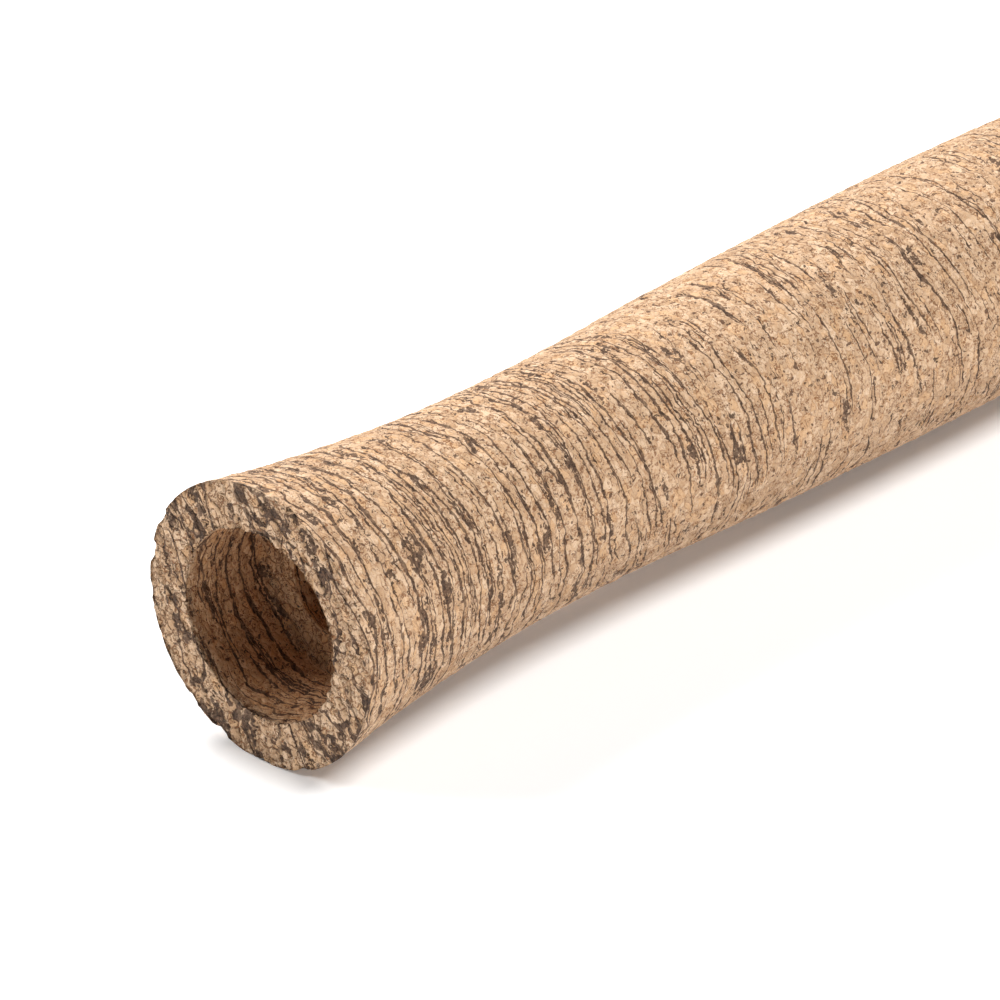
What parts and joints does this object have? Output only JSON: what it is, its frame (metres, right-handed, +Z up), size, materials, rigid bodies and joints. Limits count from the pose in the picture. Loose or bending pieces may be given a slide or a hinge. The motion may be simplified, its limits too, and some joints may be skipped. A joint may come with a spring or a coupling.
{
  "type": "burl cork rod grip",
  "caption": "Turned burl cork grip for a fishing rod, waisted and flared, bored right through, with a wide flat-bottomed recess in its end.",
  "frame": {"origin": "on the surface that the grip lies on, below the middle of its length", "axes": "+X along the grip from the recessed end to the plain end, +Z up"},
  "size_m": [0.2, 0.029, 0.0288],
  "materials": {
    "burl_cork": "matt sanded cork with dark bark veins"
  },
  "bodies": {
    "root": {"burl_cork_grip": "burl_cork"}
  },
  "joints": []
}
